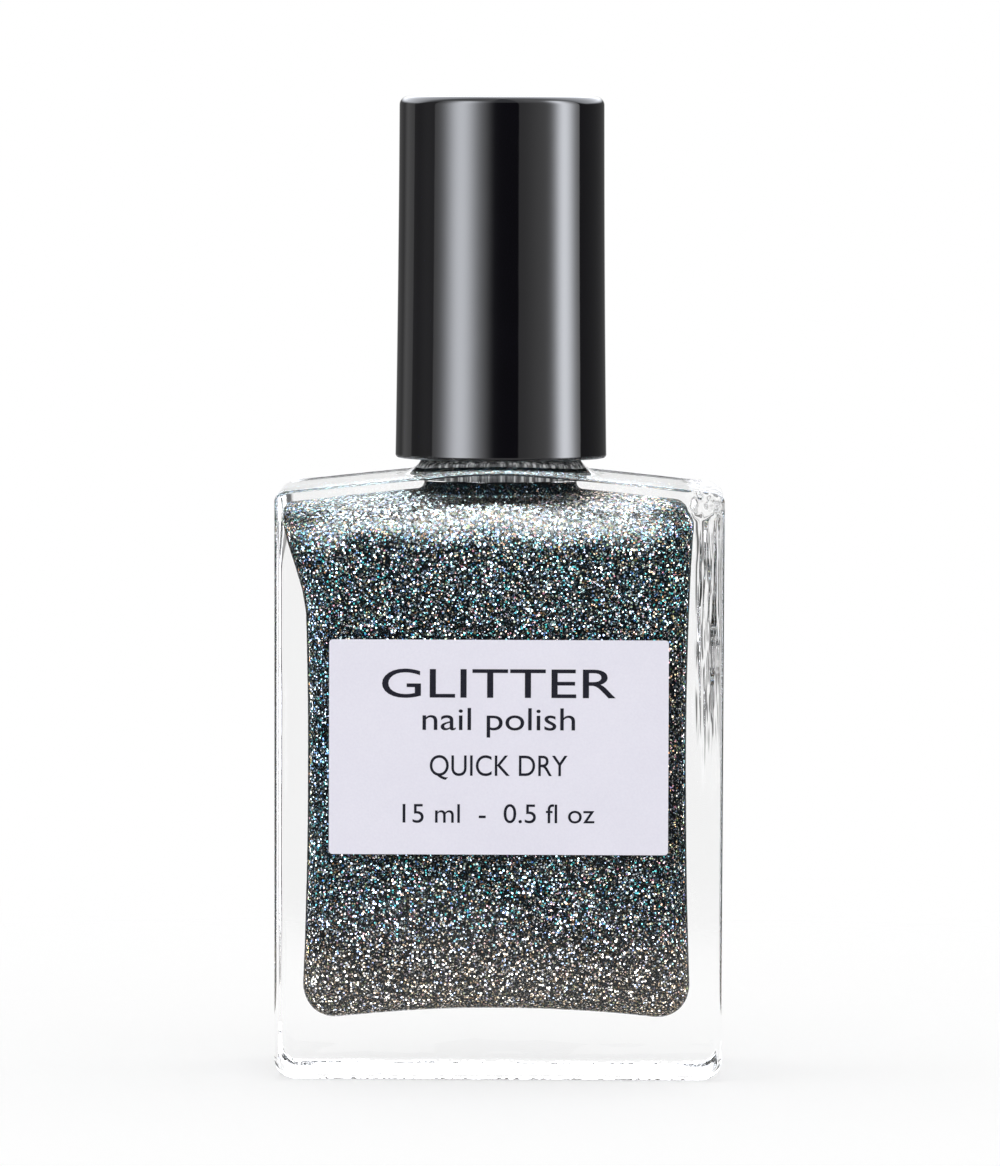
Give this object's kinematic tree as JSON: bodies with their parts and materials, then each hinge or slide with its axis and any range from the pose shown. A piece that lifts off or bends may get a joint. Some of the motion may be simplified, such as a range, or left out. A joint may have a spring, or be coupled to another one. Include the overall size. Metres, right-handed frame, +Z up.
{
  "type": "nail polish bottle",
  "caption": "Rectangular clear glass nail polish bottle with glitter lacquer, a blank-style front label and a tall gloss black screw cap that carries the brush.",
  "frame": {"origin": "on the bottle's axis, in the plane of its base", "axes": "+Z up along the neck and cap, +X along the width of the bottle, -Y towards the front face with the label"},
  "size_m": [0.0366, 0.0192, 0.08],
  "materials": {
    "clear_glass": "polished clear glass",
    "glitter_lacquer": "dark clear lacquer full of fine silver and rainbow glitter",
    "label_film": null,
    "cap_gloss": "piano black, polished",
    "closure_plastic": "moulded black",
    "seal_foam": "soft white foamed polyethylene",
    "stem_plastic": "satin black",
    "bristle_nylon": "fine dark nylon filaments",
    "anchor_brass": "bright wire stock",
    "ball_steel": "polished stainless steel"
  },
  "bodies": {
    "bottle": {"glass_bottle": "clear_glass", "lacquer": "glitter_lacquer", "front_label": "label_film"},
    "seal": {"seal_washer": "seal_foam"},
    "cap": {"overcap": "cap_gloss", "inner_cap": "closure_plastic", "brush_stem": "stem_plastic", "bristles": "bristle_nylon", "bristle_anchor": "anchor_brass"},
    "ball_1": {"mixing_ball_1": "ball_steel"},
    "ball_2": {"mixing_ball_2": "ball_steel"}
  },
  "joints": [
    {"name": "cap_lift", "type": "slide", "parent": "bottle", "child": "seal", "axis": [0, 0, 1], "range_m": [0, 0.06]},
    {"name": "cap_turn", "type": "hinge", "parent": "seal", "child": "cap", "pos_m": [0, 0, 0.05035], "axis": [0, 0, 1], "range_deg": [0, 540]},
    {"name": "ball_1_shake", "type": "slide", "parent": "bottle", "child": "ball_1", "axis": [0, 0, 1], "range_m": [0, 0.03]},
    {"name": "ball_2_shake", "type": "slide", "parent": "bottle", "child": "ball_2", "axis": [0, 0, 1], "range_m": [0, 0.03]}
  ]
}
